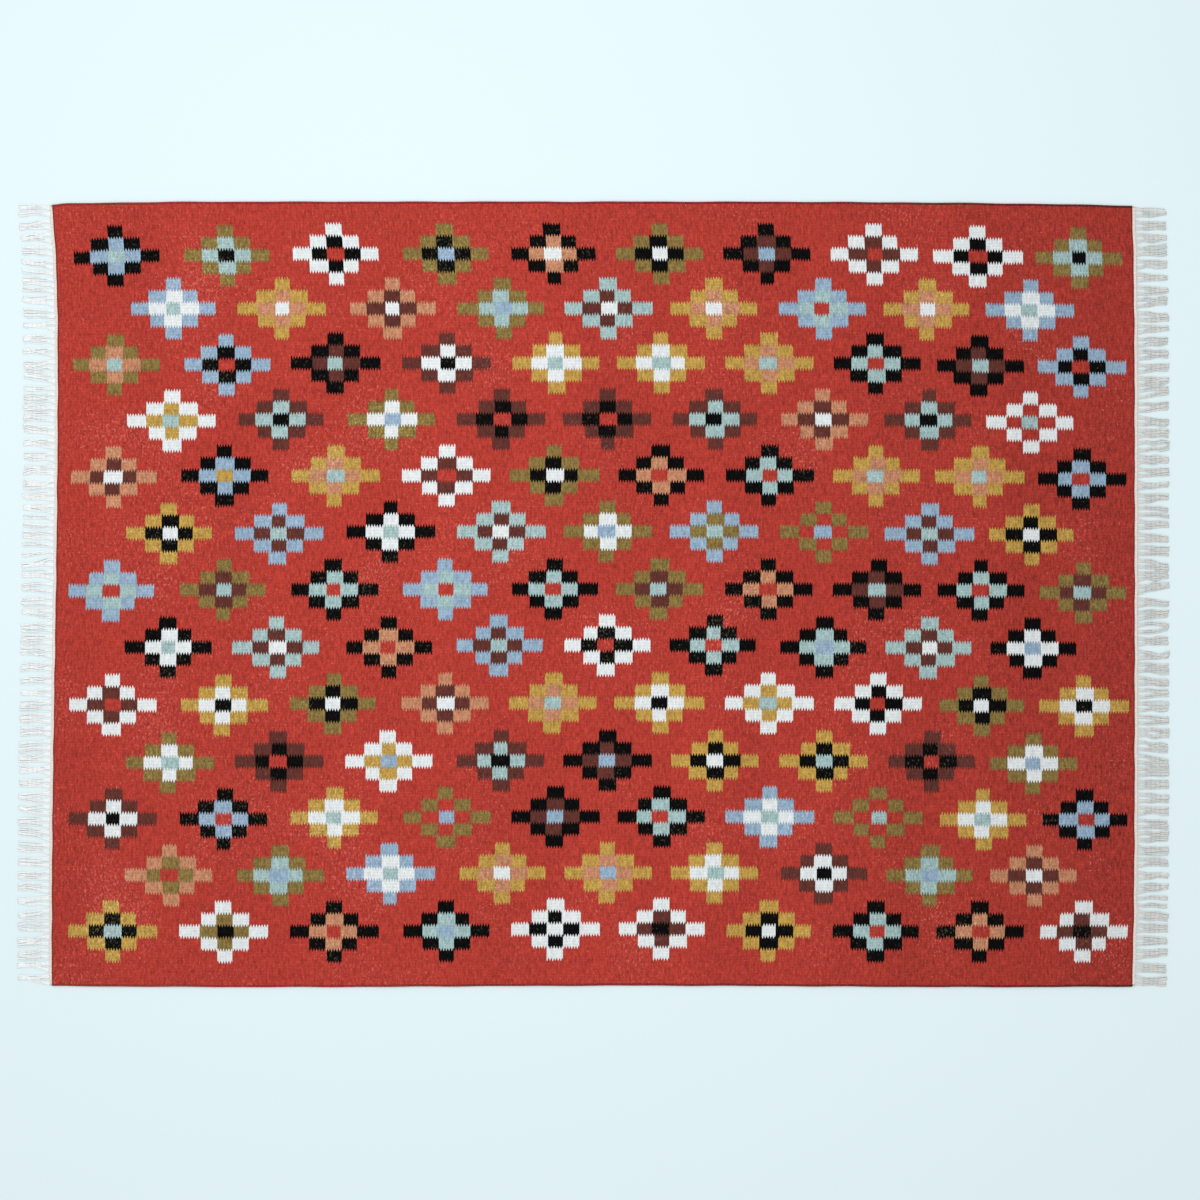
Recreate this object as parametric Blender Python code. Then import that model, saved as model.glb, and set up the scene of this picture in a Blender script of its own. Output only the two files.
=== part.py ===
"""Flat-woven wool area rug with a fringe at both ends.

Metres, +Z up.  The warps run along X, the wefts across them along Y, and the rug lies
on the floor at z = 0 with the middle of its underside at the origin.  The undyed warps
run right through the rug: inside the dyed weft web, through the cotton web at each end,
and out as the fringe, which can be turned up and over on to the rug.
"""

import math

import bmesh
import bpy
from mathutils import Matrix

# Driving dimensions ---------------------------------------------------------------
RUG_WIDTH = 1.700            # across the wefts, over both selvedges
FIELD_LENGTH = 2.340         # dyed wool web, along the warps
FIELD_THICKNESS = 0.0032     # weft-faced web, top face to underside
END_WEB_LENGTH = 0.0060      # undyed cotton web that locks the last wefts
END_WEB_THICKNESS = 0.0026
FRINGE_LENGTH = 0.0700       # free warp ends beyond the cotton web
FRINGE_THICKNESS = 0.0030    # a loosely twisted bundle, lying flat
WARP_THICKNESS = 0.0012      # layer of cotton warps inside the web
SELVEDGE_WIDTH = 0.0046      # overcast edge along each long side
SELVEDGE_THICKNESS = 0.0036
SELVEDGE_CORD = 0.0016       # doubled outer warps inside the overcasting
BUNDLE_PITCH = 0.0142        # from one fringe bundle to the next
BUNDLE_WIDTH = 0.0076
BUNDLE_TIP_WIDTH = 0.0064
BUNDLE_STRAIGHT_SHARE = 0.6  # of its free length, before it starts to taper
ROOT_LENGTH = 0.0030         # warps gathered side by side before they part
HANKS_PER_END = 24           # groups of neighbouring bundles, one solid each

# Clearances -----------------------------------------------------------------------
TOUCH_GAP = 0.0003           # between faces that lie against each other
FOLD_CLEARANCE = 0.0004      # height of the fringe's fold line above the field

SELVEDGE_SIDES = 12
CORD_SIDES = 8
EDGE_ROUND = 0.0006          # rounding of the webs' long edges

# Worked out from them -------------------------------------------------------------
FIELD_WIDTH = RUG_WIDTH - 2 * (SELVEDGE_WIDTH + TOUCH_GAP)
WARP_WIDTH = FIELD_WIDTH - 4 * TOUCH_GAP
FIELD_END = FIELD_LENGTH / 2
END_WEB_START = FIELD_END + TOUCH_GAP
END_WEB_END = END_WEB_START + END_WEB_LENGTH
WARP_LENGTH = 2 * END_WEB_END
FRINGE_START = END_WEB_END + TOUCH_GAP
FRINGE_END = FRINGE_START + FRINGE_LENGTH
FOLD_HEIGHT = FIELD_THICKNESS + FOLD_CLEARANCE
WARP_HEIGHT = FIELD_THICKNESS / 2
HANK_SPACING = RUG_WIDTH / HANKS_PER_END
HANK_WIDTH = HANK_SPACING - TOUCH_GAP
BUNDLES_PER_HANK = max(1, round(HANK_SPACING / BUNDLE_PITCH))


def clear_scene():
    for thing in list(bpy.data.objects):
        bpy.data.objects.remove(thing, do_unlink=True)


def finish(name, color, roughness):
    """A dull textile finish, without any metallic reflection."""
    material = bpy.data.materials.new(name)
    material.use_nodes = True
    shader = material.node_tree.nodes["Principled BSDF"]
    shader.inputs["Base Color"].default_value = (*color, 1.0)
    shader.inputs["Roughness"].default_value = roughness
    shader.inputs["Metallic"].default_value = 0.0
    return material


def new_object(name, bm, material=None):
    """Put a finished bmesh in the scene under the node's own name."""
    bmesh.ops.recalc_face_normals(bm, faces=bm.faces)
    mesh = bpy.data.meshes.new(name)
    bm.to_mesh(mesh)
    bm.free()
    thing = bpy.data.objects.new(name, mesh)
    bpy.context.collection.objects.link(thing)
    if material is not None:
        mesh.materials.append(material)
    return thing


def block(length, width, thickness):
    """A bmesh box round its own centre, length along X and width along Y."""
    bm = bmesh.new()
    bmesh.ops.create_cube(bm, size=1.0)
    bmesh.ops.scale(bm, vec=(length, width, thickness), verts=bm.verts)
    return bm


def bar_along_x(length, width, thickness, sides):
    """A round or oval bar round its own centre, with flat ends, lying along X."""
    bm = bmesh.new()
    bmesh.ops.create_cone(
        bm, cap_ends=True, segments=sides, radius1=0.5, radius2=0.5, depth=1.0
    )
    lay_down = Matrix.Rotation(math.pi / 2, 4, "Y")
    half_a_side = Matrix.Rotation(math.pi / sides, 4, "X")
    bmesh.ops.transform(bm, matrix=half_a_side @ lay_down, verts=bm.verts)
    # The flats, not the corners, stand at the given width and thickness.
    across_flats = math.cos(math.pi / sides)
    size = (length, width / across_flats, thickness / across_flats)
    bmesh.ops.scale(bm, vec=size, verts=bm.verts)
    return bm


def cut_through(thing, cutter):
    """Open a passage with a hidden cutter, which stands past both faces."""
    cutter.hide_render = True
    cutter.display_type = "WIRE"
    cut = thing.modifiers.new("passage", "BOOLEAN")
    cut.operation = "DIFFERENCE"
    cut.solver = "EXACT"
    cut.object = cutter


def round_long_edges(bm, radius):
    """Round the four edges of a web that run along X."""
    long_edges = [
        edge for edge in bm.edges
        if abs((edge.verts[0].co - edge.verts[1].co).normalized().x) > 0.99
    ]
    bmesh.ops.bevel(
        bm, geom=long_edges, offset=radius, segments=2, affect="EDGES",
        profile=0.5, material=-1,
    )


def woven_web(name, length, width, thickness, passage, middle, material):
    """A web woven round the warps: a flat sleeve with a passage right through it."""
    bm = block(length, width, thickness)
    round_long_edges(bm, EDGE_ROUND)
    web = new_object(name, bm, material)
    web.location = middle
    passage_width, passage_thickness = passage
    cutter_size = (2 * length, passage_width, passage_thickness)
    cutter = new_object(name + "_passage", block(*cutter_size))
    cutter.location = (middle[0], middle[1], WARP_HEIGHT)
    cut_through(web, cutter)
    return web


def weft_field(material):
    passage = (WARP_WIDTH + 2 * TOUCH_GAP, WARP_THICKNESS + 2 * TOUCH_GAP)
    middle = (0.0, 0.0, FIELD_THICKNESS / 2)
    woven_web(
        "weft_field", FIELD_LENGTH, FIELD_WIDTH, FIELD_THICKNESS, passage, middle,
        material,
    )


def warp_core(material):
    """All the cotton warps side by side, as one layer inside the webs."""
    core = new_object("warp_core", block(WARP_LENGTH, WARP_WIDTH, WARP_THICKNESS), material)
    core.location = (0.0, 0.0, WARP_HEIGHT)


def end_web(name, side, material):
    """Plain cotton web beyond the last dyed weft, woven on the same warps."""
    passage = (WARP_WIDTH + 2 * TOUCH_GAP, WARP_THICKNESS + 2 * TOUCH_GAP)
    middle = (side * (END_WEB_START + END_WEB_END) / 2, 0.0, WARP_HEIGHT)
    woven_web(
        name, END_WEB_LENGTH, FIELD_WIDTH, END_WEB_THICKNESS, passage, middle, material
    )


def selvedge(side_name, side, wool, cotton):
    """Overcast edge: red wool whipped over a cord of doubled outer warps."""
    length = 2 * END_WEB_END
    y = side * (RUG_WIDTH - SELVEDGE_WIDTH) / 2
    middle = (0.0, y, SELVEDGE_THICKNESS / 2)
    wrap_shape = bar_along_x(length, SELVEDGE_WIDTH, SELVEDGE_THICKNESS, SELVEDGE_SIDES)
    wrap = new_object("selvedge_wrap_" + side_name, wrap_shape, wool)
    wrap.location = middle
    bore = SELVEDGE_CORD + 2 * TOUCH_GAP
    bore_shape = bar_along_x(2 * length, bore, bore, CORD_SIDES)
    cutter = new_object("selvedge_bore_" + side_name, bore_shape)
    cutter.location = middle
    cut_through(wrap, cutter)
    cord_shape = bar_along_x(length, SELVEDGE_CORD, SELVEDGE_CORD, CORD_SIDES)
    cord = new_object("selvedge_cord_" + side_name, cord_shape, cotton)
    cord.location = middle


def bundle_middles():
    """Places of one hank's bundles, measured along Y from the hank's middle."""
    spacing = HANK_SPACING / BUNDLES_PER_HANK
    first = -spacing * (BUNDLES_PER_HANK - 1) / 2
    return [first + spacing * number for number in range(BUNDLES_PER_HANK)]


def hank_shape(side):
    """Neighbouring bundles that part from one short root, pointing along side * X.

    The shape stands round the fold line: x from it outwards, z from it downwards.
    """
    bm = block(ROOT_LENGTH, HANK_WIDTH, FRINGE_THICKNESS)
    root_middle = TOUCH_GAP + ROOT_LENGTH / 2
    down = FRINGE_THICKNESS / 2 - FOLD_HEIGHT
    bmesh.ops.translate(bm, vec=(side * root_middle, 0.0, down), verts=bm.verts)
    bm.normal_update()
    for middle in bundle_middles():
        for edge_y in (middle - BUNDLE_WIDTH / 2, middle + BUNDLE_WIDTH / 2):
            geometry = bm.verts[:] + bm.edges[:] + bm.faces[:]
            bmesh.ops.bisect_plane(
                bm, geom=geometry, plane_co=(0.0, edge_y, 0.0), plane_no=(0.0, 1.0, 0.0)
            )
    bm.normal_update()
    for middle in bundle_middles():
        grow_bundle(bm, side, middle)
    return bm


def root_face(bm, side, middle):
    """The outward face of the root from which the bundle at this place grows."""
    faces = [face for face in bm.faces if side * face.normal.x > 0.99]
    return min(faces, key=lambda face: abs(face.calc_center_median().y - middle))


def narrow(verts, middle, share):
    """Bring a bundle's end together about its own middle line."""
    there = Matrix.Translation((0.0, middle, 0.0))
    squeeze = there @ Matrix.Diagonal((1.0, share, 1.0, 1.0)) @ there.inverted()
    for vert in verts:
        vert.co = squeeze @ vert.co


def grow_bundle(bm, side, middle):
    """Draw one bundle out of the root in two lengths, the second one tapering."""
    face = root_face(bm, side, middle)
    free_length = FRINGE_LENGTH - ROOT_LENGTH
    full_length = BUNDLE_STRAIGHT_SHARE * free_length
    stages = (
        (full_length, 1.0),
        (free_length - full_length, BUNDLE_TIP_WIDTH / BUNDLE_WIDTH),
    )
    for length, width_share in stages:
        grown = bmesh.ops.extrude_face_region(bm, geom=[face])["geom"]
        new_verts = [item for item in grown if isinstance(item, bmesh.types.BMVert)]
        new_face = next(item for item in grown if isinstance(item, bmesh.types.BMFace))
        bmesh.ops.delete(bm, geom=[face], context="FACES_ONLY")
        bmesh.ops.translate(bm, vec=(side * length, 0.0, 0.0), verts=new_verts)
        narrow(new_verts, middle, width_share)
        face = new_face


def fringe(end_name, side, material):
    """All hanks of one end hang from one fold line along the end of the web."""
    fold_line = bpy.data.objects.new("fringe_fold_" + end_name, None)
    fold_line.location = (side * END_WEB_END, 0.0, FOLD_HEIGHT)
    bpy.context.collection.objects.link(fold_line)
    for number in range(HANKS_PER_END):
        name = f"fringe_{end_name}_{number + 1:02d}"
        hank = new_object(name, hank_shape(side), material)
        hank.parent = fold_line
        hank.location = (0.0, (number + 0.5) * HANK_SPACING - RUG_WIDTH / 2, 0.0)


def build():
    clear_scene()
    red_wool = finish("red_wool", (0.42, 0.042, 0.028), 0.95)
    dark_red_wool = finish("dark_red_wool", (0.26, 0.022, 0.018), 0.95)
    raw_cotton = finish("raw_cotton", (0.66, 0.62, 0.56), 0.92)
    warp_cotton = finish("warp_cotton", (0.70, 0.68, 0.64), 0.92)
    cotton_web = finish("cotton_web", (0.72, 0.62, 0.58), 0.92)
    weft_field(red_wool)
    warp_core(raw_cotton)
    end_web("end_web_left", -1, cotton_web)
    end_web("end_web_right", 1, cotton_web)
    selvedge("front", -1, dark_red_wool, raw_cotton)
    selvedge("back", 1, dark_red_wool, raw_cotton)
    fringe("left", -1, warp_cotton)
    fringe("right", 1, warp_cotton)


build()
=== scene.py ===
"""Flat-woven wool rug with a fringe at both ends, laid out on a pale studio floor.

Metres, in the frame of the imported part: the warps run along X, the wefts along Y, and the
rug lies on z = 0.  Every piece is made flat on the loom's own grid of warps and weft
passes, and then laid down, so that all of them follow the same slightly uneven outline.
"""

import math
import random

import bmesh
import bpy
import numpy as np
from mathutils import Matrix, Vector, geometry


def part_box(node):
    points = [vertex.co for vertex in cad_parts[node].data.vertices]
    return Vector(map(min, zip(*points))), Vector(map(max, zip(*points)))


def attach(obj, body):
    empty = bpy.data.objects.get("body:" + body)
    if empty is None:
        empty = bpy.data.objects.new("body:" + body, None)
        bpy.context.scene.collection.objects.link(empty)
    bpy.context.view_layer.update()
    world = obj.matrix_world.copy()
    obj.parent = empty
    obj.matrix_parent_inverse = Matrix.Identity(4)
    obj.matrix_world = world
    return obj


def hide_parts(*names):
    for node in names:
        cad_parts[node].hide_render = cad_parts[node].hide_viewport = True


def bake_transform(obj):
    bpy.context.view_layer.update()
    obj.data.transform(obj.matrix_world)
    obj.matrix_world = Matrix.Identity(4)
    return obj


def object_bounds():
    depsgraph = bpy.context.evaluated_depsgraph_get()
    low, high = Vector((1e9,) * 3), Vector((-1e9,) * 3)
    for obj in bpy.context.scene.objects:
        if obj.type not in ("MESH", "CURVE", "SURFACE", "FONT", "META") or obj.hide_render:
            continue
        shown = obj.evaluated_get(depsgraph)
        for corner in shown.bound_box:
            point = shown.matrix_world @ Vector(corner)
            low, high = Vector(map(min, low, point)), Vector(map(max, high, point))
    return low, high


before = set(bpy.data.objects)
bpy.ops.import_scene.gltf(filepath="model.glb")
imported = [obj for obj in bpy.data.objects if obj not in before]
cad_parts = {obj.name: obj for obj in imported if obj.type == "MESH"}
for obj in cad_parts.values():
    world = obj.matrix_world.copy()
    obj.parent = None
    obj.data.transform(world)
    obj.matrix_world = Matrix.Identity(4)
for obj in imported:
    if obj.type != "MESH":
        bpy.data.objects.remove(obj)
cad_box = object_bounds()
scene = bpy.context.scene


# Camera, lights and floor ---------------------------------------------------------------
# The rug is seen from straight above, about four and a half metres up, on a pale seamless
# floor.  A large softbox to the back left lights it, and the white studio fills the shadows.
CAMERA_HEIGHT = 4.55
CAMERA_ASIDE = Vector((0.0141, -0.0130))
FLOOR_WIDTH_SEEN = 2.6087

camera = bpy.data.objects.new("camera", bpy.data.cameras.new("camera"))
camera.location = (CAMERA_ASIDE.x, CAMERA_ASIDE.y, CAMERA_HEIGHT)
camera.data.angle = 2 * math.atan(FLOOR_WIDTH_SEEN / 2 / CAMERA_HEIGHT)
camera.data.clip_end = 60
scene.collection.objects.link(camera)
scene.camera = camera
scene.view_settings.view_transform = "Standard"

SOFTBOX_PLACE = Vector((-0.6, 0.9, 3.2))
SOFTBOX_SIZE = 2.4
SOFTBOX_WATTS = 42

softbox = bpy.data.objects.new("softbox", bpy.data.lights.new("softbox", "AREA"))
softbox.data.shape = "SQUARE"
softbox.data.size = SOFTBOX_SIZE
softbox.data.energy = SOFTBOX_WATTS
softbox.location = SOFTBOX_PLACE
softbox.rotation_euler = (-SOFTBOX_PLACE).to_track_quat("-Z", "Y").to_euler()
scene.collection.objects.link(softbox)

STUDIO_BRIGHTNESS = 0.88

studio = bpy.data.worlds.new("studio")
studio.use_nodes = True
studio_walls = studio.node_tree.nodes["Background"]
studio_walls.inputs["Color"].default_value = (1.0, 1.0, 1.0, 1)
studio_walls.inputs["Strength"].default_value = STUDIO_BRIGHTNESS
scene.world = studio


def linear(red, green, blue):
    """A colour, given 0 to 255, as the shader's own linear light."""
    levels = (level / 255 for level in (red, green, blue))
    return tuple(c / 12.92 if c <= 0.04045 else ((c + 0.055) / 1.055) ** 2.4 for c in levels)


FLOOR_SIZE = 14
FLOOR_DROP = 0.0004          # keeps the floor clear of the rug's underside
FLOOR_COLOUR = linear(231, 248, 252)
FLOOR_SHADE = 0.86           # the paper reflects this share of it

floor_shape = bmesh.new()
bmesh.ops.create_grid(floor_shape, x_segments=1, y_segments=1, size=FLOOR_SIZE / 2)
bmesh.ops.translate(floor_shape, verts=floor_shape.verts, vec=(0, 0, -FLOOR_DROP))
floor_mesh = bpy.data.meshes.new("floor")
floor_shape.to_mesh(floor_mesh)
floor_shape.free()
floor_paper = bpy.data.materials.new("floor_paper")
floor_paper.use_nodes = True
floor_shader = floor_paper.node_tree.nodes["Principled BSDF"]
floor_shader.inputs["Base Color"].default_value = (*(c * FLOOR_SHADE for c in FLOOR_COLOUR), 1)
floor_shader.inputs["Roughness"].default_value = 1.0
floor_shader.inputs["Specular IOR Level"].default_value = 0.0
floor_mesh.materials.append(floor_paper)
floor = bpy.data.objects.new("floor", floor_mesh)
scene.collection.objects.link(floor)


# The cloth and how it lies --------------------------------------------------------------
# A kilim: undyed cotton warps lengthwise, dyed wool wefts beaten down over them until no warp
# shows.  Half a tooth of a colour join is one column of weft passes, and one warp is one row.
rug_low, rug_high = cad_box
web_low, web_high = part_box("weft_field")
WEB_TOP = web_high.z
WARPS = 514
COLUMNS = 792
PASSES_PER_COLUMN = 2.5
WARP_PITCH = (web_high.y - web_low.y) / WARPS
COLUMN = (web_high.x - web_low.x) / COLUMNS
PASS_PITCH = COLUMN / PASSES_PER_COLUMN
HALF_LENGTH = web_high.x
HALF_WIDTH = rug_high.y

# How far the outline strays from a straight one, in or out of the rug.  Places across the rug
# run from -1 at the front to 1 at the back, and places along it from -1 at the left end to 1.
LEFT_BOW = 0.0065            # in, deepest behind the middle, and out at the front corner
LEFT_BOW_DEEPEST = 0.55
LEFT_BOW_TURNS = 0.69
LEFT_CORNER_OUT = 0.0100     # the back corner of that end runs out again
RIGHT_BOW = 0.0054           # out in the middle, and straight at the corners
RIGHT_CORNERS_IN = 0.0058
BACK_BOW = 0.0028            # out on the left, and in at the right end
BACK_CORNER_IN = 0.0088
FRONT_BOW = 0.0026           # out
FRONT_WAVE = 0.0016
CORNER_TUCK = 0.0033         # the back left corner has crept in towards the middle
CORNER_TUCK_FROM = 0.55
CORNER_TUCK_WIDTH = 0.20
CORNER_TIP_WIDTH = 0.020
SAG = 0.0060                 # and the warps just in front of it crowd forward
SAG_PLACE = (0.02, 0.86)     # metres from the left end, and its place across
SAG_WIDTH = (0.075, 0.09)

END_SCALLOP = 0.0007         # small waves of the ends and of the sides
SIDE_SCALLOP = 0.0006
WEFT_DRIFT = 0.0016          # the wefts aren't quite straight inside the rug either
RIPPLE = 0.00045             # the cloth's lift off the floor, up and down about this
RIPPLE_FADE = 0.10           # flat again this far from either end


def lay(points):
    """Moves flat points to where the rug's cloth lies.  The waves are in radians a metre."""
    along = np.clip(points[:, 0] / HALF_LENGTH, -1, 1)
    across = np.clip(points[:, 1] / HALF_WIDTH, -1, 1)
    left_pull = LEFT_BOW * np.cos(LEFT_BOW_TURNS * math.pi * (across - LEFT_BOW_DEEPEST))
    left_pull -= LEFT_CORNER_OUT * np.clip((across - 0.6) / 0.4, 0, 1) ** 3
    right_pull = RIGHT_BOW - RIGHT_CORNERS_IN * np.abs(across) ** 5
    back_pull = BACK_BOW - BACK_CORNER_IN * np.clip(along, 0, 1) ** 3
    front_pull = FRONT_WAVE * np.cos(1.5 * math.pi * (along - 0.08)) - FRONT_BOW
    from_corner = points[:, 0] + HALF_LENGTH
    tucked = np.exp(-(from_corner / CORNER_TUCK_WIDTH) ** 2)
    tucked += np.exp(-(from_corner / CORNER_TIP_WIDTH) ** 2)
    tucked *= np.clip((across - CORNER_TUCK_FROM) / (1 - CORNER_TUCK_FROM), 0, 1) ** 2
    sag_along = (from_corner - SAG_PLACE[0]) / SAG_WIDTH[0]
    sag_across = (across - SAG_PLACE[1]) / SAG_WIDTH[1]
    sagged = np.exp(-sag_along ** 2 - sag_across ** 2)
    edge_wave = END_SCALLOP * np.sin(points[:, 1] * 61) * np.sin(points[:, 1] * 17 + 1)
    side_wave = SIDE_SCALLOP * np.sin(points[:, 0] * 37) * np.sin(points[:, 0] * 11 + 2)
    drift = WEFT_DRIFT * np.sin(points[:, 1] * 5.1 + along * 2) * np.cos(along * math.pi / 2)
    laid = points.copy()
    laid[:, 0] += (left_pull * (1 - along) + right_pull * (1 + along)) / 2
    laid[:, 0] += edge_wave * along ** 2 + drift
    laid[:, 1] += (front_pull * (1 - across) + back_pull * (1 + across)) / 2
    laid[:, 1] += side_wave * across ** 2 - CORNER_TUCK * tucked - SAG * sagged
    fade = np.clip((HALF_LENGTH - np.abs(points[:, 0])) / RIPPLE_FADE, 0, 1)
    fade = fade * fade * (3 - 2 * fade)
    swell = np.sin(points[:, 0] * 19 + 3 * across) * np.sin(points[:, 1] * 13 + 2 * along)
    swell += 0.6 * np.sin(points[:, 0] * 41 - points[:, 1] * 23)
    laid[:, 2] += fade * RIPPLE * np.clip(1 + swell, 0, None)
    return laid


def mesh_points(mesh):
    points = np.empty(len(mesh.vertices) * 3)
    mesh.vertices.foreach_get("co", points)
    return points.reshape(-1, 3)


def lay_down(shape, name, materials, own_map=False):
    """Turns a flat bmesh into a laid piece, with the UV map "weave" in metres on the loom."""
    mesh = bpy.data.meshes.new(name)
    shape.to_mesh(mesh)
    shape.free()
    for material in materials:
        mesh.materials.append(material)
    flat = mesh_points(mesh)
    if not own_map:
        corner = np.empty(len(mesh.loops), np.int32)
        mesh.loops.foreach_get("vertex_index", corner)
        weave = mesh.uv_layers.new(name="weave")
        weave.data.foreach_set("uv", flat[corner][:, :2].ravel())
    mesh.vertices.foreach_set("co", lay(flat).ravel())
    mesh.update()
    piece = bpy.data.objects.new(name, mesh)
    scene.collection.objects.link(piece)
    return piece


# Dyed wool ------------------------------------------------------------------------------
# Handspun wool in nine colours.  Each weft pass takes the dye a little differently, the yarn
# is heathered, and pale kemp hairs that took no dye show as specks.
def node(tree, kind, **inputs):
    """Adds a node and fills its inputs, each with a value or with another node's socket."""
    made = tree.nodes.new(kind)
    for name, value in inputs.items():
        socket = made.inputs[int(name[1:]) if name[1:].isdigit() else name.replace("_", " ")]
        if isinstance(value, bpy.types.NodeSocket):
            tree.links.new(value, socket)
        else:
            socket.default_value = value
    return made


def maths(tree, operation, first, second=0.0):
    made = node(tree, "ShaderNodeMath", _0=first, _1=second)
    made.operation = operation
    return made.outputs[0]


def noise(tree, place, stretch, detail=2.0):
    """Noise on the loom's map: stretch is how many blotches fit in a metre, each way."""
    scaled = node(tree, "ShaderNodeMapping", Vector=place, Scale=(*stretch, 1))
    made = node(tree, "ShaderNodeTexNoise", Vector=scaled.outputs[0], Scale=1.0, Detail=detail)
    return made.outputs["Fac"]


def loom_map(tree):
    weave = tree.nodes.new("ShaderNodeUVMap")
    weave.uv_map = "weave"
    return weave.outputs[0]


BEAD_SWAY = 0.7              # how far the beads slip along their warp, in beads
WARP_SWAY = 0.35             # and the share of it that their line wanders sideways
BEAD_DEPTH = 0.0006


def weft_beads(tree, place):
    """Where a weft pass crosses a warp it shows as a bead, staggered from warp to warp.
    Gives the height of the beads and a random number for each of them."""
    split = node(tree, "ShaderNodeSeparateXYZ", Vector=place)
    sway = maths(tree, "MULTIPLY", noise(tree, place, (90, 70)), BEAD_SWAY)
    warp = maths(tree, "DIVIDE", split.outputs["Y"], WARP_PITCH)
    warp = maths(tree, "ADD", warp, maths(tree, "MULTIPLY", sway, WARP_SWAY))
    rib = maths(tree, "ABSOLUTE", maths(tree, "SINE", maths(tree, "MULTIPLY", warp, math.pi)))
    odd = maths(tree, "MULTIPLY", maths(tree, "PINGPONG", maths(tree, "FLOOR", warp), 1.0), 0.5)
    turn = maths(tree, "ADD", maths(tree, "DIVIDE", split.outputs["X"], 2 * PASS_PITCH), odd)
    turn = maths(tree, "ADD", turn, sway)
    bead = maths(tree, "ABSOLUTE", maths(tree, "SINE", maths(tree, "MULTIPLY", turn, math.pi)))
    round_warp = maths(tree, "POWER", rib, 0.85)
    height = maths(tree, "MULTIPLY", round_warp, maths(tree, "POWER", bead, 0.75))
    cell = node(
        tree, "ShaderNodeCombineXYZ", X=maths(tree, "FLOOR", turn), Y=maths(tree, "FLOOR", warp)
    )
    dice = node(tree, "ShaderNodeTexWhiteNoise", Vector=cell.outputs[0])
    return height, dice.outputs["Value"]


def shade_of(tree, base, factor):
    """The base colour times a factor round 1, as a colour socket."""
    made = node(tree, "ShaderNodeVectorMath", _0=base, _3=factor)
    made.operation = "SCALE"
    return made.outputs[0]


def mixed(tree, factor, first, second):
    made = tree.nodes.new("ShaderNodeMix")
    made.data_type = "RGBA"
    for index, value in ((0, factor), (6, first), (7, second)):
        if isinstance(value, bpy.types.NodeSocket):
            tree.links.new(value, made.inputs[index])
        else:
            made.inputs[index].default_value = value if index == 0 else (*value, 1)
    return made.outputs[2]


def step(tree, value, low, high):
    made = node(tree, "ShaderNodeMapRange", Value=value, _1=low, _2=high)
    made.interpolation_type = "SMOOTHSTEP"
    return made.outputs[0]


LIGHT_LEVEL = 0.96           # what the studio's light makes of a white card
TONES = (                    # blotches in a metre along and across, their detail and strength
    ((250, 42), 2.0, 0.95),  # streaks along the weft
    ((110, 80), 3.0, 0.45),  # uneven yarn
    ((7, 0.6), 1.0, 0.26),   # abrash, from one batch of yarn to the next
)
DICE_TONE = 0.30             # from bead to bead
BEAD_PAINTED_SHADE = (0.70, 1.12)  # painted shade between the beads, and painted highlight on top of them
HEATHER_EDGE = (0.40, 0.66)
KEMP_EDGE = (0.60, 0.74)     # of the noise that the hairs are cut out of
KEMP_COVER = 0.75
KEMP_PATCHES = 0.5           # how much the pale hairs keep to patches of the cloth
KEMP_LEAN = 0.032            # and how much fewer there are towards the right
PALEST = 0.45                # metres left of the middle, where the colour is lightest


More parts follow.
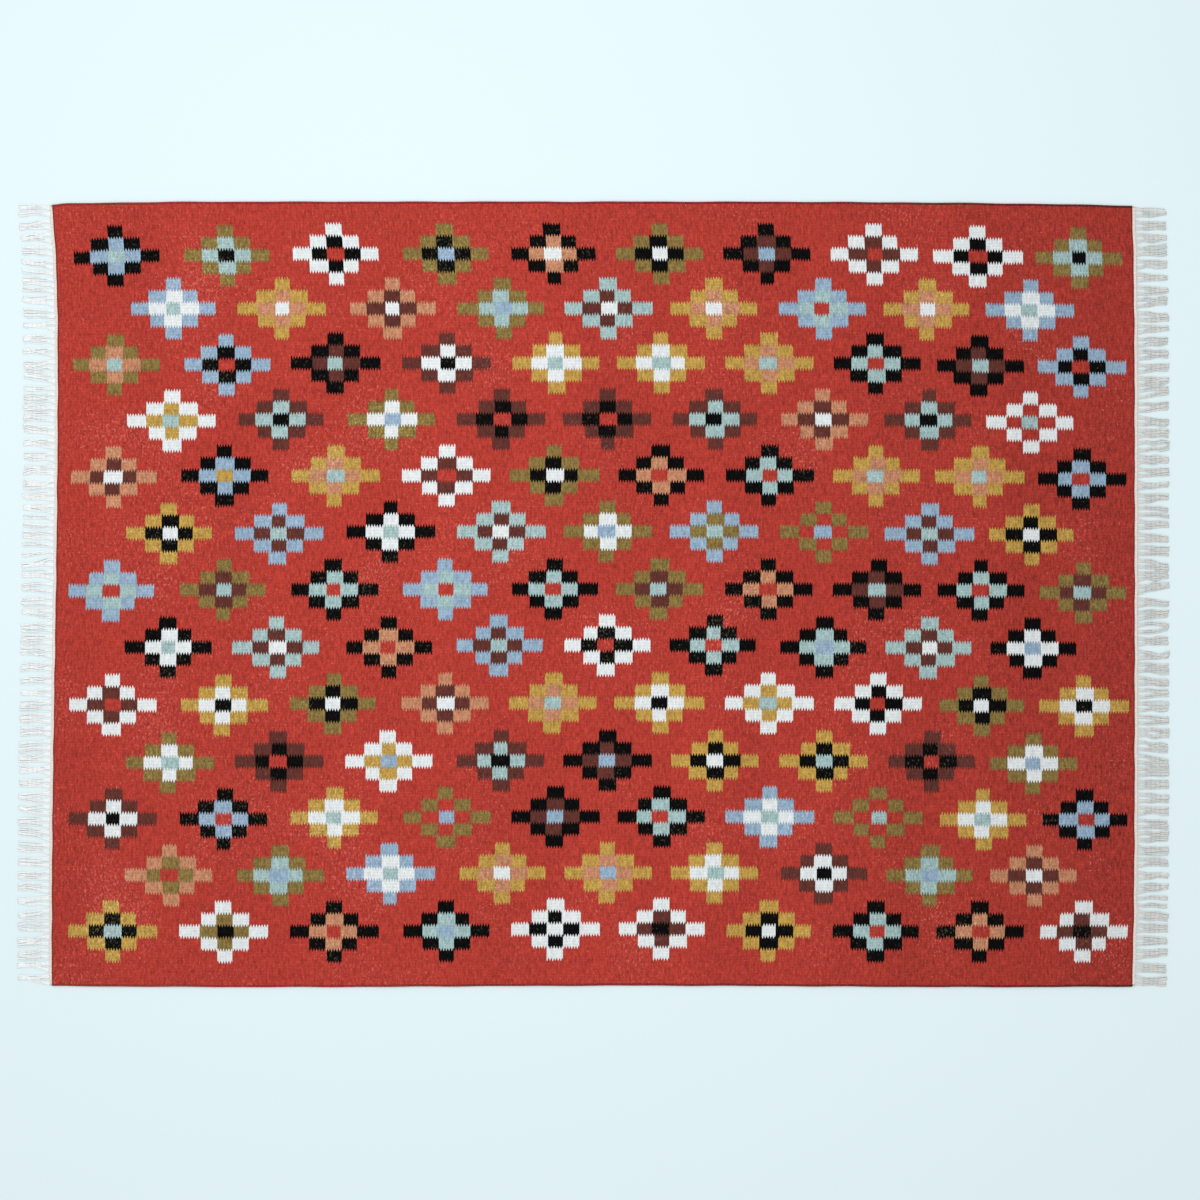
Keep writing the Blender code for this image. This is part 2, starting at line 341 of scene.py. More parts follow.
def wool(name, colour, other, kemp, mottle, fade=0.045, sheen=0.06, uneven=1.0):
    """colour is the yarn's own, other the tone that it is heathered with, kemp the pale hair.
    fade is how much darker the colour is a metre from its palest place, growing as the square."""
    material = bpy.data.materials.new(name)
    material.use_nodes = True
    tree = material.node_tree
    place = loom_map(tree)
    height, dice = weft_beads(tree, place)
    base, second, pale = (tuple(c / LIGHT_LEVEL for c in linear(*x)) for x in (colour, other, kemp))
    heather = step(tree, noise(tree, place, (230, 90), 3.0), *HEATHER_EDGE)
    dyed = mixed(tree, maths(tree, "MULTIPLY", heather, mottle), base, second)
    tone = 1 - uneven * (sum(weight for _, _, weight in TONES) + DICE_TONE) / 2
    for stretch, detail, weight in TONES:
        layer = maths(tree, "MULTIPLY", noise(tree, place, stretch, detail), weight * uneven)
        tone = maths(tree, "ADD", layer, tone)
    tone = maths(tree, "ADD", tone, maths(tree, "MULTIPLY", dice, DICE_TONE * uneven))
    along = node(tree, "ShaderNodeSeparateXYZ", Vector=place).outputs["X"]
    from_pale = maths(tree, "POWER", maths(tree, "ADD", along, PALEST), 2.0)
    tone = maths(tree, "SUBTRACT", tone, maths(tree, "MULTIPLY", from_pale, fade))
    dyed = shade_of(tree, dyed, tone)
    worn = maths(tree, "MULTIPLY", noise(tree, place, (5, 5), 1.0), KEMP_PATCHES)
    worn = maths(tree, "SUBTRACT", worn, maths(tree, "MULTIPLY", along, KEMP_LEAN))
    kemp_hairs = maths(tree, "ADD", noise(tree, place, (230, 130)), worn)
    speck = step(tree, kemp_hairs, *(edge + KEMP_PATCHES / 2 for edge in KEMP_EDGE))
    per_bead = maths(tree, "MULTIPLY", speck, step(tree, dice, 0.15, 0.75))
    dyed = mixed(tree, maths(tree, "MULTIPLY", per_bead, KEMP_COVER), dyed, pale)
    # Painted shade and highlight: the colour is darkened in the hollows between the beads and
    # lightened on their crowns.
    dark, bright = BEAD_PAINTED_SHADE
    bead_shading = node(tree, "ShaderNodeMapRange", Value=height, _3=dark, _4=bright)
    dyed = shade_of(tree, dyed, bead_shading.outputs[0])
    fuzz = noise(tree, place, (2600, 700), 3.0)
    relief = maths(tree, "ADD", height, maths(tree, "MULTIPLY", fuzz, 0.35))
    bump = node(tree, "ShaderNodeBump", Height=relief, Strength=0.8, Distance=BEAD_DEPTH)
    shader = tree.nodes["Principled BSDF"]
    tree.links.new(dyed, shader.inputs["Base Color"])
    tree.links.new(bump.outputs[0], shader.inputs["Normal"])
    rough = node(tree, "ShaderNodeMapRange", Value=dice, _3=0.86, _4=1.0)
    tree.links.new(rough.outputs[0], shader.inputs["Roughness"])
    shader.inputs["Specular IOR Level"].default_value = 2 * sheen
    shader.inputs["Sheen Weight"].default_value = sheen
    shader.inputs["Sheen Roughness"].default_value = 0.6
    return material


YARNS = {
    "R": wool("wool_madder_red", (181, 60, 49), (164, 46, 36), (212, 108, 98), 0.75, fade=0.095),
    # The black's brownish second tone is heathered yarn, and also painted sheen for the dim glints
    # on black wool.
    "K": wool("wool_black", (8, 7, 10), (26, 25, 20), (88, 84, 64), 0.5, sheen=0.01),
    "W": wool("wool_white", (226, 231, 231), (214, 220, 226), (240, 236, 232), 0.6, uneven=0.45),
    "B": wool("wool_sky_blue", (151, 175, 193), (126, 156, 188), (196, 200, 222), 0.8, uneven=0.75),
    "A": wool("wool_pale_aqua", (166, 191, 190), (138, 172, 172), (204, 214, 216), 0.8, uneven=0.75),
    "O": wool("wool_olive", (136, 118, 62), (120, 88, 50), (176, 166, 88), 0.9),
    "M": wool("wool_mustard", (190, 155, 74), (172, 128, 62), (218, 196, 122), 0.8),
    "S": wool("wool_salmon", (194, 138, 104), (178, 112, 84), (224, 180, 160), 0.8),
    "N": wool("wool_brown", (98, 48, 39), (80, 38, 34), (138, 84, 78), 0.8),
}


# Weaver's cartoon -----------------------------------------------------------------------
# Thirteen rows of stepped diamonds, from the back of the rug to the front, left to right.
# Each is named by its three yarns: the outer blocks, the inner blocks and the one in the middle.
CARTOON = """
    KBA OAK WKR OKB KSW OKW KNB WNR WKR OAK
    BWA MSW SNW OAB ANW MSW BAR MSW BWA
    OSA BKR KNA NWK MWA MWA MSA KAR KNA BKR
    WMA NAK OWB NKR NKR NAK SNW NAK WRA
    SNW KBM MSA WNR OKW KSR KAR MSA MSA KBR
    MKW BNA KWA ANW OWB BOA ORB BNA MKW
    BAR ONA KAR BAR KAR ONA KSR KNA KAR ONA
    KWA ANW KSR BNA WKR KAR KAB ANW KWB
    WNR MWK OKW SNW MSA MWK WMA WKR OKW MWK
    OWA NKR WMB NAK KNB MKW MKA NKR OWB
    NWK KBR MWA ORB KNB KAR BWA ORA MWA KBR
    SOR OAB BWA MSW MSB MWA NWK OAB SNW
    MKA WOK KSR KAB WKW WNK MKW KAR KSR WNK
"""
cartoon = [line.split() for line in CARTOON.split("\n") if line.strip()]

FIRST_ROW = 0.7354           # from the rug's middle to the middle of the first row
LAST_ROW = -0.7291
ROW_RISE = 0.0085            # the second to tenth rows lie up to this much further back
ROW_RISE_ENDS = 9.3
FIRST_COLUMN = -1.040
LAST_COLUMN = 1.060
FIRST_COLUMN_SPREAD = 0.007  # the front rows start further left
LAST_COLUMN_SPREAD = 0.008   # and the middle ones end further right
COLUMN_BULGE = 0.0215        # the middle columns lie this much to the right
ROW_BOW = 0.0028             # the rows' ends lie this much further forward
ROW_LEAN = 0.0065            # rows slip left up to the sixth, then right again
ROW_LEAN_TURNS = 0.277
ROWS_LEFT = 0.0020           # all of them lie this much to the left
COLUMN_WAVE = 0.0030         # miscounted passes push the columns about
COLUMN_WAVES = 2.6


def motif_place(row, order, count):
    """The middle of a motif, in whole columns and warps of the loom."""
    depth = row / (len(cartoon) - 1)
    y = FIRST_ROW + (LAST_ROW - FIRST_ROW) * depth
    if row < ROW_RISE_ENDS:
        y += ROW_RISE * math.sin(math.pi * (row / ROW_RISE_ENDS) ** 0.75)
    longest = len(cartoon[0])
    share = (order + (longest - count) / 2) / (longest - 1)
    first = FIRST_COLUMN - FIRST_COLUMN_SPREAD * depth
    last = LAST_COLUMN + LAST_COLUMN_SPREAD * math.sin(math.pi * depth)
    x = first + (last - first) * share + COLUMN_BULGE * math.sin(math.pi * share) ** 0.6
    slip = (depth ** 1.4 - ROW_LEAN_TURNS) / (1 - ROW_LEAN_TURNS)
    x -= ROWS_LEFT + ROW_LEAN * math.cos(math.pi * slip)
    x += COLUMN_WAVE * math.cos(2 * math.pi * COLUMN_WAVES * share)
    y += ROW_BOW * (0.35 - (2 * share - 1) ** 2)
    return round((x - web_low.x) / COLUMN), round((y - web_low.y) / WARP_PITCH)


# Blocks of a motif, with their joins ----------------------------------------------------
# Thirteen blocks of plain colour, stepped like a diamond.  Two colours share the warp where
# they meet, each turning round it for a few passes, which makes the pointed teeth.
BLOCK_COLUMNS = (-32, -18, -6, 6, 18, 32)
BLOCK_WARPS = (-20, -12, -4, 4, 12, 20)
BLOCK_SPANS = ((2, 3), (1, 4), (0, 5), (1, 4), (2, 3))
MIDDLE_BLOCK = 2
TOOTH_REACH = 1.20           # in warps, either side of the join
TOOTH_VARIES = (0.75, 1.15)
TOOTH_COLUMNS = 40           # either side of the motif's middle, more than its widest row
EDGE_SLIPS = (-1, 0, 0, 1)   # columns by which a block's ends miss their place

rng = random.Random(1907)
loom_points = []
point_index = {}
outlines = []
outline_owner = []


def loom_point(column, warp):
    """The number of the point at that column and warp, which is made once."""
    key = (round(column, 5), round(warp, 5))
    if key not in point_index:
        point_index[key] = len(loom_points)
        loom_points.append(
            Vector((web_low.x + column * COLUMN, web_low.y + warp * WARP_PITCH))
        )
    return point_index[key]


def toothed_join(start, stop, warp, reach):
    """A join along one warp, from start to stop: up round the warp and down, column by column."""
    def tooth(column):
        return reach[column] if column % 2 else -reach[column]

    def corner(column):
        return loom_point(column, warp + (tooth(column - 1) + tooth(column)) / 2)

    way = 1 if stop > start else -1
    columns = range(min(start, stop), max(start, stop))[::way]
    teeth = [loom_point(column + 0.5, warp + tooth(column)) for column in columns]
    return [corner(start), *teeth, corner(stop)]


def yarn_role(level, block):
    """0 for the outer blocks, 1 for the inner ones and 2 for the one in the middle."""
    steps = abs(level - MIDDLE_BLOCK) + abs(block - MIDDLE_BLOCK)
    return {2: 0, 1: 1, 0: 2}[steps]


loom_points += [Vector((x, y)) for x, y in (
    (web_low.x, web_low.y), (web_high.x, web_low.y),
    (web_high.x, web_high.y), (web_low.x, web_high.y),
)]
outlines.append([0, 1, 2, 3])
outline_owner.append(None)
block_boxes = []

for row, motifs in enumerate(cartoon):
    for order in range(len(motifs)):
        middle, warp = motif_place(row, order, len(motifs))
        levels = [warp + at for at in BLOCK_WARPS]
        reaches = [
            {
                middle + k: TOOTH_REACH * rng.uniform(*TOOTH_VARIES)
                for k in range(-TOOTH_COLUMNS, TOOTH_COLUMNS + 1)
            }
            for _ in levels
        ]
        for level, (first, last) in enumerate(BLOCK_SPANS):
            edges = [middle + at + rng.choice(EDGE_SLIPS) for at in BLOCK_COLUMNS]
            for block in range(first, last):
                left, right = edges[block], edges[block + 1]
                low, high = levels[level], levels[level + 1]
                front = toothed_join(left, right, low, reaches[level])
                back = toothed_join(right, left, high, reaches[level + 1])
                outlines.append(front + back)
                outline_owner.append((row, order, yarn_role(level, block)))
            block_boxes.append((edges[first], edges[last], low, high))


# Points inside the cloth ----------------------------------------------------------------
# Cloth bends, so it gets points inside its outlines too: one every few warps, clear of the
# joins.  Then one triangulation makes ground and blocks together, edge to edge.
INNER_STEP = 0.024
JOIN_CLEARANCE = 1.6         # in columns and warps
BLOCK_STEP = 6               # columns between the points down the middle of a row of blocks
RIM_STEP = 4                 # columns, or warps, between the points along the rug's rim

boxes = np.array(block_boxes, float)


def clear_of_joins(column, warp):
    near_x = (boxes[:, 0] - JOIN_CLEARANCE < column) & (column < boxes[:, 1] + JOIN_CLEARANCE)
    near_y = (boxes[:, 2] - JOIN_CLEARANCE < warp) & (warp < boxes[:, 3] + JOIN_CLEARANCE)
    return not np.any(near_x & near_y)


columns_step = INNER_STEP / COLUMN
warps_step = INNER_STEP / WARP_PITCH
for i in range(1, int(COLUMNS / columns_step)):
    for j in range(1, int(WARPS / warps_step)):
        column = (i + 0.5 * (j % 2)) * columns_step
        warp = j * warps_step
        if column < COLUMNS - 1 and clear_of_joins(column, warp):
            loom_point(column, warp)
for left, right, low, high in block_boxes:
    steps = max(2, round((right - left) / BLOCK_STEP))
    for k in range(1, steps):
        loom_point(left + (right - left) * k / steps, (low + high) / 2)
for at in range(RIM_STEP, COLUMNS, RIM_STEP):
    loom_point(at, 0)
    loom_point(at, WARPS)
for at in range(RIM_STEP, WARPS, RIM_STEP):
    loom_point(0, at)
    loom_point(COLUMNS, at)

MERGE = 1e-6
WHOLE_CLOTH = 0              # triangles everywhere, not only inside the outlines
woven_points, _, woven_faces, _, _, face_outlines = geometry.delaunay_2d_cdt(
    loom_points, [], outlines, WHOLE_CLOTH, MERGE, True
)


# Web of ground colour -------------------------------------------------------------------
# The red web between and round the motifs, one cloth from selvedge to selvedge.  The motifs
# are woven into it, so it has a toothed opening for each; the wefts dip where they turn back.
DIP = 0.00028                # depth of the groove at every colour join
DIP_WIDTH = 0.0007


def woven_solid(faces_by_role, name, materials):
    """A closed piece of cloth: its faces, thickened down to the floor, with the joins dipped."""
    shape = bmesh.new()
    at = {}
    groups = []
    for role, faces in faces_by_role.items():
        group = []
        for face in faces:
            for index in face:
                if index not in at:
                    x, y = woven_points[index]
                    at[index] = shape.verts.new((x, y, WEB_TOP - DIP))
            made = shape.faces.new([at[index] for index in face])
            made.material_index = role
            group.append(made)
        groups.append(group)
    below = bmesh.ops.extrude_face_region(shape, geom=shape.faces[:])["geom"]
    sunk = [item for item in below if isinstance(item, bmesh.types.BMVert)]
    bmesh.ops.translate(shape, verts=sunk, vec=(0, 0, -(WEB_TOP - DIP)))
    bmesh.ops.recalc_face_normals(shape, faces=shape.faces[:])
    for group in groups:
        bmesh.ops.inset_region(
            shape, faces=group, thickness=DIP_WIDTH, depth=DIP,
            use_boundary=True, use_even_offset=False,
        )
    return lay_down(shape, name, materials)


ground_faces = []
motif_faces = {}
for face, owners in zip(woven_faces, face_outlines):
    blocks = [outline_owner[owner] for owner in owners if outline_owner[owner] is not None]
    if blocks:
        row, order, role = blocks[0]
        motif_faces.setdefault((row, order), {}).setdefault(role, []).append(face)
    else:
        ground_faces.append(face)

ground_web = woven_solid({0: ground_faces}, "ground_web", [YARNS["R"]])
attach(ground_web, "rug")
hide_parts("weft_field")


# Stepped diamonds -----------------------------------------------------------------------
# One piece for each motif, as a weaver counts them: up to three dyed yarns worked block by
# block on the same warps as the ground, and locked to it along the toothed joins.
for (row, order), faces_by_role in sorted(motif_faces.items()):
    yarns = [YARNS[letter] for letter in cartoon[row][order]]
    name = f"motif_{row + 1:02d}_{order + 1:02d}"
    motif = woven_solid(dict(sorted(faces_by_role.items())), name, yarns)
    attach(motif, "rug")


# Cotton ---------------------------------------------------------------------------------
# Undyed cotton, plied and hard-twisted: the warps, the narrow webs at the ends and the
# fringe.  It is off-white, with a slightly warm thread here and there.
PLY_PAINTED_SHADE = (0.76, 1.05)     # painted shade in the hollows between plies, and painted highlight on top of them
COTTON_RELIEF = 0.0004


def cotton(name, colour, warm, twist_pitch):
    material = bpy.data.materials.new(name)
    material.use_nodes = True
    tree = material.node_tree
    where = loom_map(tree)
    base, second = (tuple(c / LIGHT_LEVEL for c in linear(*x)) for x in (colour, warm))
    tone = step(tree, noise(tree, where, (160, 420), 3.0), 0.35, 0.70)
    fibre = mixed(tree, tone, base, second)
    split = node(tree, "ShaderNodeSeparateXYZ", Vector=where)
    slant = maths(tree, "ADD", split.outputs["X"], split.outputs["Y"])
    turn = maths(tree, "MULTIPLY", slant, math.pi / twist_pitch)
    strand = maths(tree, "ABSOLUTE", maths(tree, "SINE", turn))
    # Painted shade in the hollows between the plies, and painted highlight on their tops.
    dark, bright = PLY_PAINTED_SHADE
    ply_shading = node(tree, "ShaderNodeMapRange", Value=strand, _3=dark, _4=bright)
    fibre = shade_of(tree, fibre, ply_shading.outputs[0])
    hairs = noise(tree, where, (1500, 3000))
    relief = maths(tree, "ADD", strand, maths(tree, "MULTIPLY", hairs, 0.4))
    bump = node(tree, "ShaderNodeBump", Height=relief, Strength=0.7, Distance=COTTON_RELIEF)
    shader = tree.nodes["Principled BSDF"]
    tree.links.new(fibre, shader.inputs["Base Color"])
    tree.links.new(bump.outputs[0], shader.inputs["Normal"])
    rough = node(tree, "ShaderNodeMapRange", Value=hairs, _3=0.78, _4=0.95)
    tree.links.new(rough.outputs[0], shader.inputs["Roughness"])
    shader.inputs["Specular IOR Level"].default_value = 0.2
    shader.inputs["Sheen Weight"].default_value = 0.05
    return material


TIGHT_TWIST = 0.0016         # metres from ply to ply
cotton_warp = cotton("cotton_warp", (214, 210, 198), (200, 192, 176), TIGHT_TWIST)


# Warps inside the web -------------------------------------------------------------------
# The undyed warps lie side by side through the whole rug, buried in the wefts, and run out
# through both end webs.  They show as ridges one warp apart.
core_low, core_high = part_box("warp_core")
CORE_STATIONS = 13
WARP_RIDGE = 0.0004

core_shape = bmesh.new()
bmesh.ops.create_grid(core_shape, x_segments=CORE_STATIONS, y_segments=2 * WARPS, size=0.5)
core_length = core_high.x - core_low.x
core_width = core_high.y - core_low.y
bmesh.ops.scale(core_shape, verts=core_shape.verts, vec=(core_length, core_width, 1))
for vert in core_shape.verts:
    ridge = round((vert.co.y / core_width + 0.5) * 2 * WARPS) % 2
    vert.co.z = core_high.z - WARP_RIDGE * (1 - ridge)
under = bmesh.ops.extrude_face_region(core_shape, geom=core_shape.faces[:])["geom"]
for vert in (item for item in under if isinstance(item, bmesh.types.BMVert)):
    vert.co.z = core_low.z + core_high.z - vert.co.z
bmesh.ops.recalc_face_normals(core_shape, faces=core_shape.faces[:])
warp_sheet = lay_down(core_shape, "cotton_warps", [cotton_warp])
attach(warp_sheet, "rug")
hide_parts("warp_core")


# Selvedges ------------------------------------------------------------------------------
# Each long side is overcast: a dark red wool yarn is whipped, turn beside turn, over the two
# outermost warps, which lie together as a doubled cotton cord.
WRAP_PITCH = 0.0042
WRAP_RINGS = 4               # in a turn
WRAP_SIDES = 10
WRAP_SWELL = 0.00028
WRAP_WAIST = 0.6             # of the swell is taken off all round, so it's no thicker on average
WRAP_TWIST = 0.2             # how far a turn gets ahead on its way over the top, in turns
WRAP_SLANT = 0.0016
WRAP_BEYOND = 0.0008         # past the last wool weft
WRAP_GIRTH = 0.011           # round the selvedge, for the weave map
CORD_RINGS = 260
CORD_SIDES = 6
CORD_OVAL = 0.12             # two warps side by side
CORD_TURNS = 20              # in a metre

selvedge_wool = wool("wool_selvedge", (160, 56, 49), (136, 44, 39), (190, 100, 90), 0.8, fade=0.08)


def tube(length, rings, sides):
    """A closed tube along X from 0 to length, one metre round, to be shaped ring by ring."""
    shape = bmesh.new()
    bmesh.ops.create_grid(shape, x_segments=rings, y_segments=sides, size=0.5)
    weave = shape.loops.layers.uv.new("weave")
    for face in shape.faces:
        for loop in face.loops:
            loop[weave].uv = ((loop.vert.co.x + 0.5) * length, loop.vert.co.y + 0.5)
    for vert in shape.verts:
        turn = 2 * math.pi * (vert.co.y + 0.5)
        vert.co = ((vert.co.x + 0.5) * length, math.cos(turn), math.sin(turn))
    bmesh.ops.remove_doubles(shape, verts=shape.verts, dist=1e-5)
    rims = [edge for edge in shape.edges if edge.is_boundary]
    bmesh.ops.holes_fill(shape, edges=rims, sides=sides)
    bmesh.ops.recalc_face_normals(shape, faces=shape.faces[:])
    return shape


for side in ("front", "back"):
    wrap_low, wrap_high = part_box(f"selvedge_wrap_{side}")
    length = 2 * (HALF_LENGTH + WRAP_BEYOND)
    turns = round(length / WRAP_PITCH)
    half_wide = (wrap_high.y - wrap_low.y) / 2
    half_tall = (wrap_high.z - wrap_low.z) / 2
    middle_y = (wrap_low.y + wrap_high.y) / 2
    shape = tube(length, turns * WRAP_RINGS, WRAP_SIDES)
    weave = shape.loops.layers.uv["weave"]
    for vert in shape.verts:
        place = vert.co.x / length * turns
        bulge = abs(math.sin(math.pi * (place + vert.co.z * WRAP_TWIST)))
        swell = WRAP_SWELL * (bulge - WRAP_WAIST)
        slant = WRAP_SLANT * vert.co.y * vert.co.z
        vert.co = (
            min(max(vert.co.x + slant, 0), length) - length / 2,
            middle_y + vert.co.y * (half_wide + swell),
            half_tall + vert.co.z * (half_tall + swell),
        )
    for face in shape.faces:
        face.smooth = True
        for loop in face.loops:
            loop[weave].uv.y *= WRAP_GIRTH
    wrap = lay_down(shape, f"selvedge_whipping_{side}", [selvedge_wool], own_map=True)
    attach(wrap, "rug")
    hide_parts(f"selvedge_wrap_{side}")

    cord_low, cord_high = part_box(f"selvedge_cord_{side}")
    cord_length = cord_high.x - cord_low.x
    cord_radius = (cord_high.z - cord_low.z) / 2
    shape = tube(cord_length, CORD_RINGS, CORD_SIDES)
    for vert in shape.verts:
        turn = 2 * math.pi * CORD_TURNS * vert.co.x
        oval = 1 + CORD_OVAL * math.cos(2 * (math.atan2(vert.co.z, vert.co.y) - turn))
        vert.co = (
            cord_low.x + vert.co.x,
            (cord_low.y + cord_high.y) / 2 + vert.co.y * cord_radius * oval,
            (cord_low.z + cord_high.z) / 2 + vert.co.z * cord_radius * oval,
        )
    cord = lay_down(shape, f"selvedge_warp_pair_{side}", [cotton_warp], own_map=True)
    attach(cord, "rug")
    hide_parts(f"selvedge_cord_{side}")


# Twined row and cotton web at each end --------------------------------------------------
# Two dark yarns twined round the warps lock the last wefts.  Beyond them a narrow band of
# cotton in plain weave, over one warp and under the next, holds the warps before the fringe.
TWINE_PITCH = 0.0118         # one full turn of the pair
TWINE_RADIUS = 0.00085
TWINE_ORBIT = 0.00095
TWINE_FLATTENED = 0.7
TWINE_RINGS = 8              # in a turn
TWINE_SIDES = 6
TWINE_INSIDE = 0.0010        # from the end of the wool web
TWINE_SINK = 0.0004          # into it
WEB_PICKS = 6
WEB_BUMP = 0.0003
WEB_MARGIN = 0.0004          # leaves room for the bumps, above and below

twine_wool = wool("wool_twining", (116, 48, 43), (92, 36, 33), (150, 84, 76), 0.7)
web_cotton = cotton("cotton_end_web", (240, 230, 222), (230, 206, 198), TIGHT_TWIST)

for side, outward in (("left", -1), ("right", 1)):
    shape = bmesh.new()
    turns = round((web_high.y - web_low.y) / TWINE_PITCH)
    for strand in (0, math.pi):
        made = tube(web_high.y - web_low.y, turns * TWINE_RINGS, TWINE_SIDES)
        for vert in made.verts:
            phase = 2 * math.pi * vert.co.x / TWINE_PITCH + strand
            centre = Vector((math.cos(phase), 0, math.sin(phase) * TWINE_FLATTENED)) * TWINE_ORBIT
            vert.co = (
                outward * (HALF_LENGTH - TWINE_INSIDE) + centre.x + vert.co.y * TWINE_RADIUS,
                web_low.y + vert.co.x,
                WEB_TOP - TWINE_SINK + centre.z + vert.co.z * TWINE_RADIUS,
            )
        bmesh.ops.recalc_face_normals(made, faces=made.faces[:])
        flat = bpy.data.meshes.new("strand")
        made.to_mesh(flat)
        made.free()
        shape.from_mesh(flat)
        bpy.data.meshes.remove(flat)
    weave = shape.loops.layers.uv["weave"]
    for face in shape.faces:
        face.smooth = True
        for loop in face.loops:
            loop[weave].uv.y *= 2 * math.pi * TWINE_RADIUS
    twine = lay_down(shape, f"twined_row_{side}", [twine_wool], own_map=True)
    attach(twine, "rug")

    low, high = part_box(f"end_web_{side}")
    shape = bmesh.new()
    bmesh.ops.create_grid(shape, x_segments=WEB_PICKS, y_segments=2 * WARPS, size=0.5)
    bmesh.ops.scale(shape, verts=shape.verts, vec=(high.x - low.x, high.y - low.y, 1))
    middle = ((low.x + high.x) / 2, 0, high.z - WEB_MARGIN)
    bmesh.ops.translate(shape, verts=shape.verts, vec=middle)
    for vert in shape.verts:
        pick = round((vert.co.x - low.x) / (high.x - low.x) * WEB_PICKS)
        thread = round((vert.co.y - low.y) / (high.y - low.y) * 2 * WARPS)
        over = math.cos(math.pi * pick) * math.cos(math.pi * thread / 2)
        vert.co.z += WEB_BUMP * over
    under = bmesh.ops.extrude_face_region(shape, geom=shape.faces[:])["geom"]
    sunk = [item for item in under if isinstance(item, bmesh.types.BMVert)]
    bmesh.ops.translate(shape, verts=sunk, vec=(0, 0, -(high.z - low.z - 2 * WEB_MARGIN)))
    bmesh.ops.recalc_face_normals(shape, faces=shape.faces[:])
    for face in shape.faces:
        face.smooth = True
    band = lay_down(shape, f"cotton_web_{side}", [web_cotton])
    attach(band, "rug")
    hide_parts(f"end_web_{side}")


# Fringe ---------------------------------------------------------------------------------
# The warps themselves, five or six to a bundle, loosely gathered where they leave the web
# and cut off nearly straight.  They wander, lie over each other and cling together in pairs.
BUNDLES_PER_HANK = 5
BUNDLE_LENGTHS = (0.955, 1.0)        # shares of the whole fringe's
YARNS_PER_BUNDLE = (5, 5, 6)
YARN_LENGTHS = (0.97, 1.0)           # shares of the bundle's
YARN_WIDTHS = (0.88, 1.12)           # shares of the radius
YARN_RADIUS = 0.00112
YARN_RINGS = 26
YARN_SIDES = 6
ROOT_RINGS = 0.35            # this share of the rings stands in
ROOT_SHARE = 0.12            # this share of the length, at the root, where the fringe folds
ROOT_INSIDE = 0.0030         # held in the cotton web
ROOT_HEIGHT = 0.0011
BUNDLE_SPREAD = 0.0098       # across a whole bundle
BUNDLE_GATHER = 0.35         # it is this much narrower a fifth of the way down
BUNDLE_DRIFT = 0.0020
YARN_DRIFT = 0.0009
YARN_LIFT = 0.0009           # every other yarn lies over its neighbours
BUNDLE_PULL = 0.0026         # a bundle leans like the one before it, and a little differently
PULL_CARRIED = 0.72
PAIRED = (0, 0, 1)           # one in three leans over to the next one, which leans back
PAIR_LEANS = (0.14, 0.34)    # by this share of the way
FRINGE_CEILING = 0.0031
YARN_OVAL = 0.16             # two plies side by side
PLY_RADIANS = (26, 34)       # by which they turn in a yarn's length
FRAY_FROM = 0.9              # the yarns open up towards their cut ends
FRAY = 2.5
LOOSE_TWIST = 0.0030         # metres from ply to ply

# The fringe cotton comes in two copies, lit and shaded: the right end's is darker, as painted shade
# for the end further from the softbox.
fringe_cottons = {
    "left": cotton("cotton_fringe", (247, 249, 248), (228, 232, 233), LOOSE_TWIST),
    "right": cotton("cotton_fringe_painted_shade", (225, 226, 222), (196, 198, 197), LOOSE_TWIST),
}

yarn_tube = tube(1.0, YARN_RINGS, YARN_SIDES)
yarn_template = bpy.data.meshes.new("fringe_yarn")
yarn_tube.to_mesh(yarn_template)
yarn_tube.free()


def wander(rng, size):
    """A slow sideways drift along a strand: two sine waves and a lean."""
    lean = rng.gauss(0, size)
    first = rng.gauss(0, size * 0.7)
    second = rng.gauss(0, size * 0.35)
    start = rng.uniform(0, 6.28)

    def aside(u):
        s_curve = first * (math.sin(start + 4.4 * u) - math.sin(start))
        kink = second * (math.sin(2 * start + 10.5 * u) - math.sin(2 * start))
        return lean * u ** 1.5 + s_curve + kink

    return aside


def along_yarn(share):
    """How far down the yarn a ring lies: the rings stand close where the fringe folds."""
    if share < ROOT_RINGS:
        return share * ROOT_SHARE / ROOT_RINGS
    return ROOT_SHARE + (share - ROOT_RINGS) * (1 - ROOT_SHARE) / (1 - ROOT_RINGS)


def add_yarn(shape, origin, outward, aside, height, length, radius, twist):
    """One warp end: the template tube, bent along its own drift."""
    first = len(shape.verts)
    shape.from_mesh(yarn_template)
    shape.verts.ensure_lookup_table()
    for vert in shape.verts[first:]:
        share, around_y, around_z = vert.co
        u = along_yarn(share)
        frayed = 1 + FRAY * max(0.0, u - FRAY_FROM)
        turn = math.atan2(around_z, around_y)
        oval = 1 + YARN_OVAL * math.cos(2 * (turn - twist * u))
        vert.co = (
            origin.x + outward * (u * length - ROOT_INSIDE),
            origin.y + aside(u) + around_y * radius * oval * frayed,
            max(0.0001, height(u) + around_z * radius * oval * 0.8),
        )


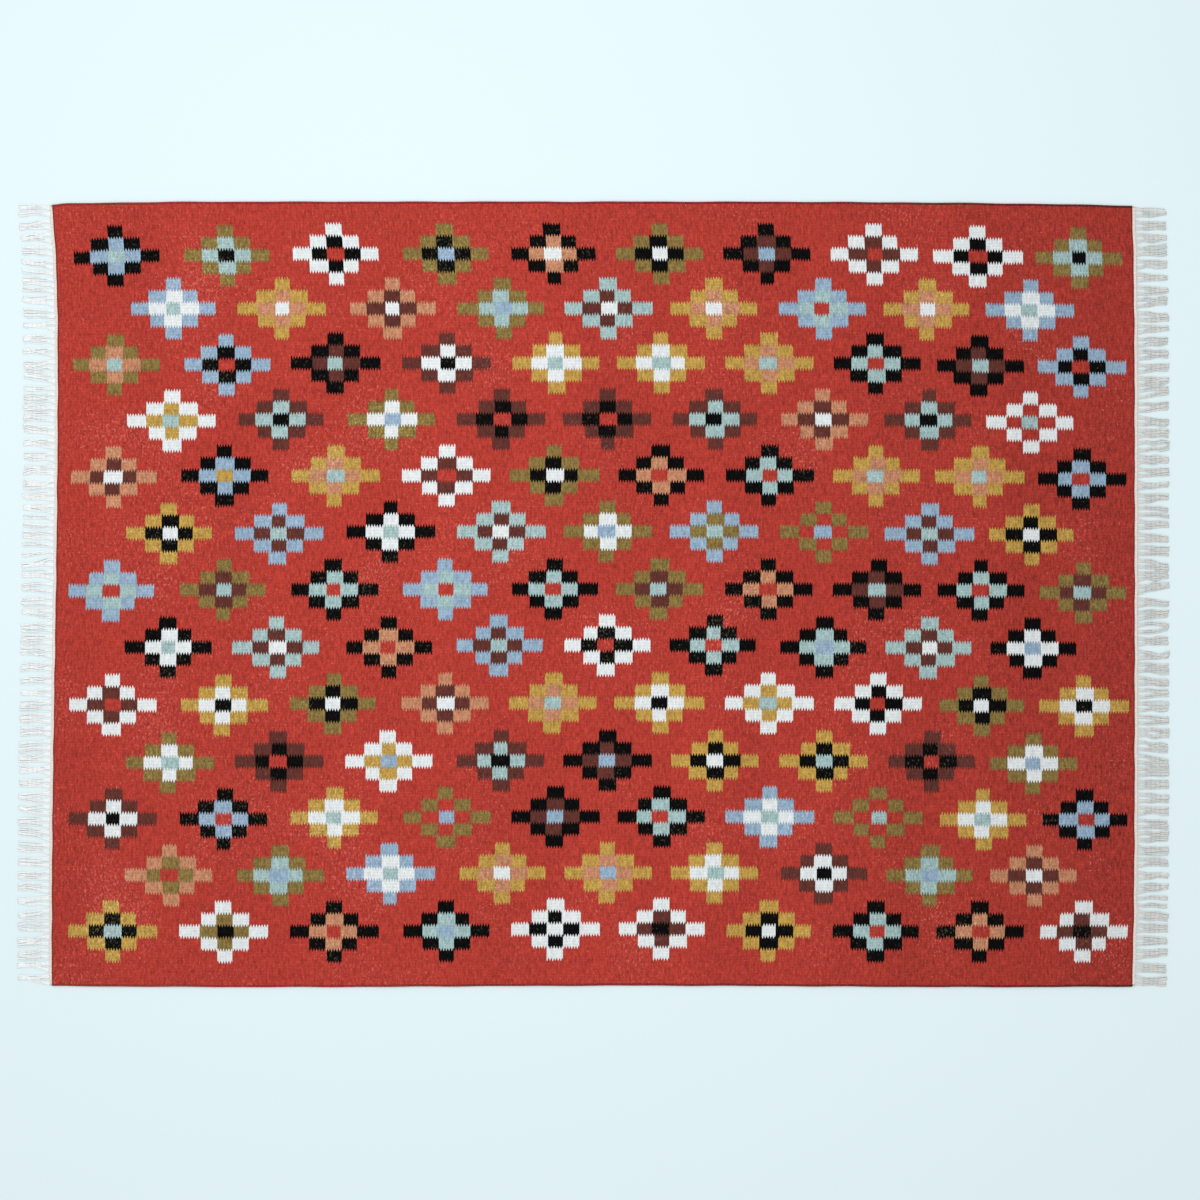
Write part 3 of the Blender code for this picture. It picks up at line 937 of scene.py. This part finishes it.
for side, outward in (("left", -1), ("right", 1)):
    body = f"fringe_{side}"
    web_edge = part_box(f"end_web_{side}")[1 if outward > 0 else 0].x
    hanks = sorted(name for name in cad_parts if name.startswith(body + "_"))
    pull = 0.0
    pairing = 0.0
    for hank in hanks:
        low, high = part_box(hank)
        reach = max(abs(low.x), abs(high.x)) - abs(web_edge)
        pitch = (high.y - low.y) / BUNDLES_PER_HANK
        shape = bmesh.new()
        for bundle in range(BUNDLES_PER_HANK):
            centre_y = low.y + (bundle + 0.5) * pitch
            pull = PULL_CARRIED * pull + rng.gauss(0, BUNDLE_PULL)
            if pairing:
                pairing = -pairing
            else:
                pairing = rng.choice(PAIRED) * rng.uniform(*PAIR_LEANS) * pitch
            drift = wander(rng, BUNDLE_DRIFT)
            length = reach * rng.uniform(*BUNDLE_LENGTHS)
            count = rng.choice(YARNS_PER_BUNDLE)
            for strand in range(count):
                slot = (strand - (count - 1) / 2) / count
                fan = wander(rng, YARN_DRIFT)
                splay = slot * BUNDLE_SPREAD
                rise = YARN_RADIUS * 0.8 + (YARN_LIFT if strand % 2 else 0.0)

                def aside(u, drift=drift, fan=fan, splay=splay, lean=pull + pairing, slot=slot):
                    gathered = 1 - BUNDLE_GATHER * math.exp(-((u - 0.2) / 0.14) ** 2)
                    root = math.exp(-(u / 0.07) ** 2)
                    free = min(1.0, max(0.0, (u - 0.04) / 0.3))
                    spread = slot * pitch * 0.9 * root + splay * gathered * (1 - root)
                    return spread + (drift(u) + fan(u) + lean * u) * free

                def height(u, rise=rise):
                    held = math.exp(-(u / 0.09) ** 2)
                    loose = rise + 0.0002 * math.sin(9 * u)
                    middle = ROOT_HEIGHT * held + loose * (1 - held)
                    return min(middle, FRINGE_CEILING - YARN_RADIUS)

                yarn_length = length * rng.uniform(*YARN_LENGTHS) + ROOT_INSIDE
                radius = YARN_RADIUS * rng.uniform(*YARN_WIDTHS)
                twist = rng.uniform(*PLY_RADIANS)
                origin = Vector((web_edge, centre_y))
                add_yarn(shape, origin, outward, aside, height, yarn_length, radius, twist)
        weave = shape.loops.layers.uv["weave"]
        for face in shape.faces:
            face.smooth = True
            for loop in face.loops:
                loop[weave].uv.x = reach * along_yarn(loop[weave].uv.x)
                loop[weave].uv.y *= 2 * math.pi * YARN_RADIUS
        bmesh.ops.recalc_face_normals(shape, faces=shape.faces[:])
        name = hank.replace("fringe", "fringe_bundles")
        strands = lay_down(shape, name, [fringe_cottons[side]], own_map=True)
        edge_line = np.array([(web_edge, low.y, 0), (web_edge, high.y, 0)])
        beyond = max(0.0, *(outward * (lay(edge_line)[:, 0] - web_edge)))
        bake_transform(strands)
        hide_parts(hank)

bpy.data.meshes.remove(yarn_template)


# The ground web's area -------------------------------------------------------------------
# Woven to size, so it is cut nowhere: 1.70 m by 2.34 m without the fringe.  The ground colour
# covers three fifths of that, and everything else is worked into it or hangs from it.
shape = bmesh.new()
shape.from_mesh(ground_web.data)
covered = sum(face.calc_area() for face in shape.faces if face.normal.z > 0.5)
shape.free()
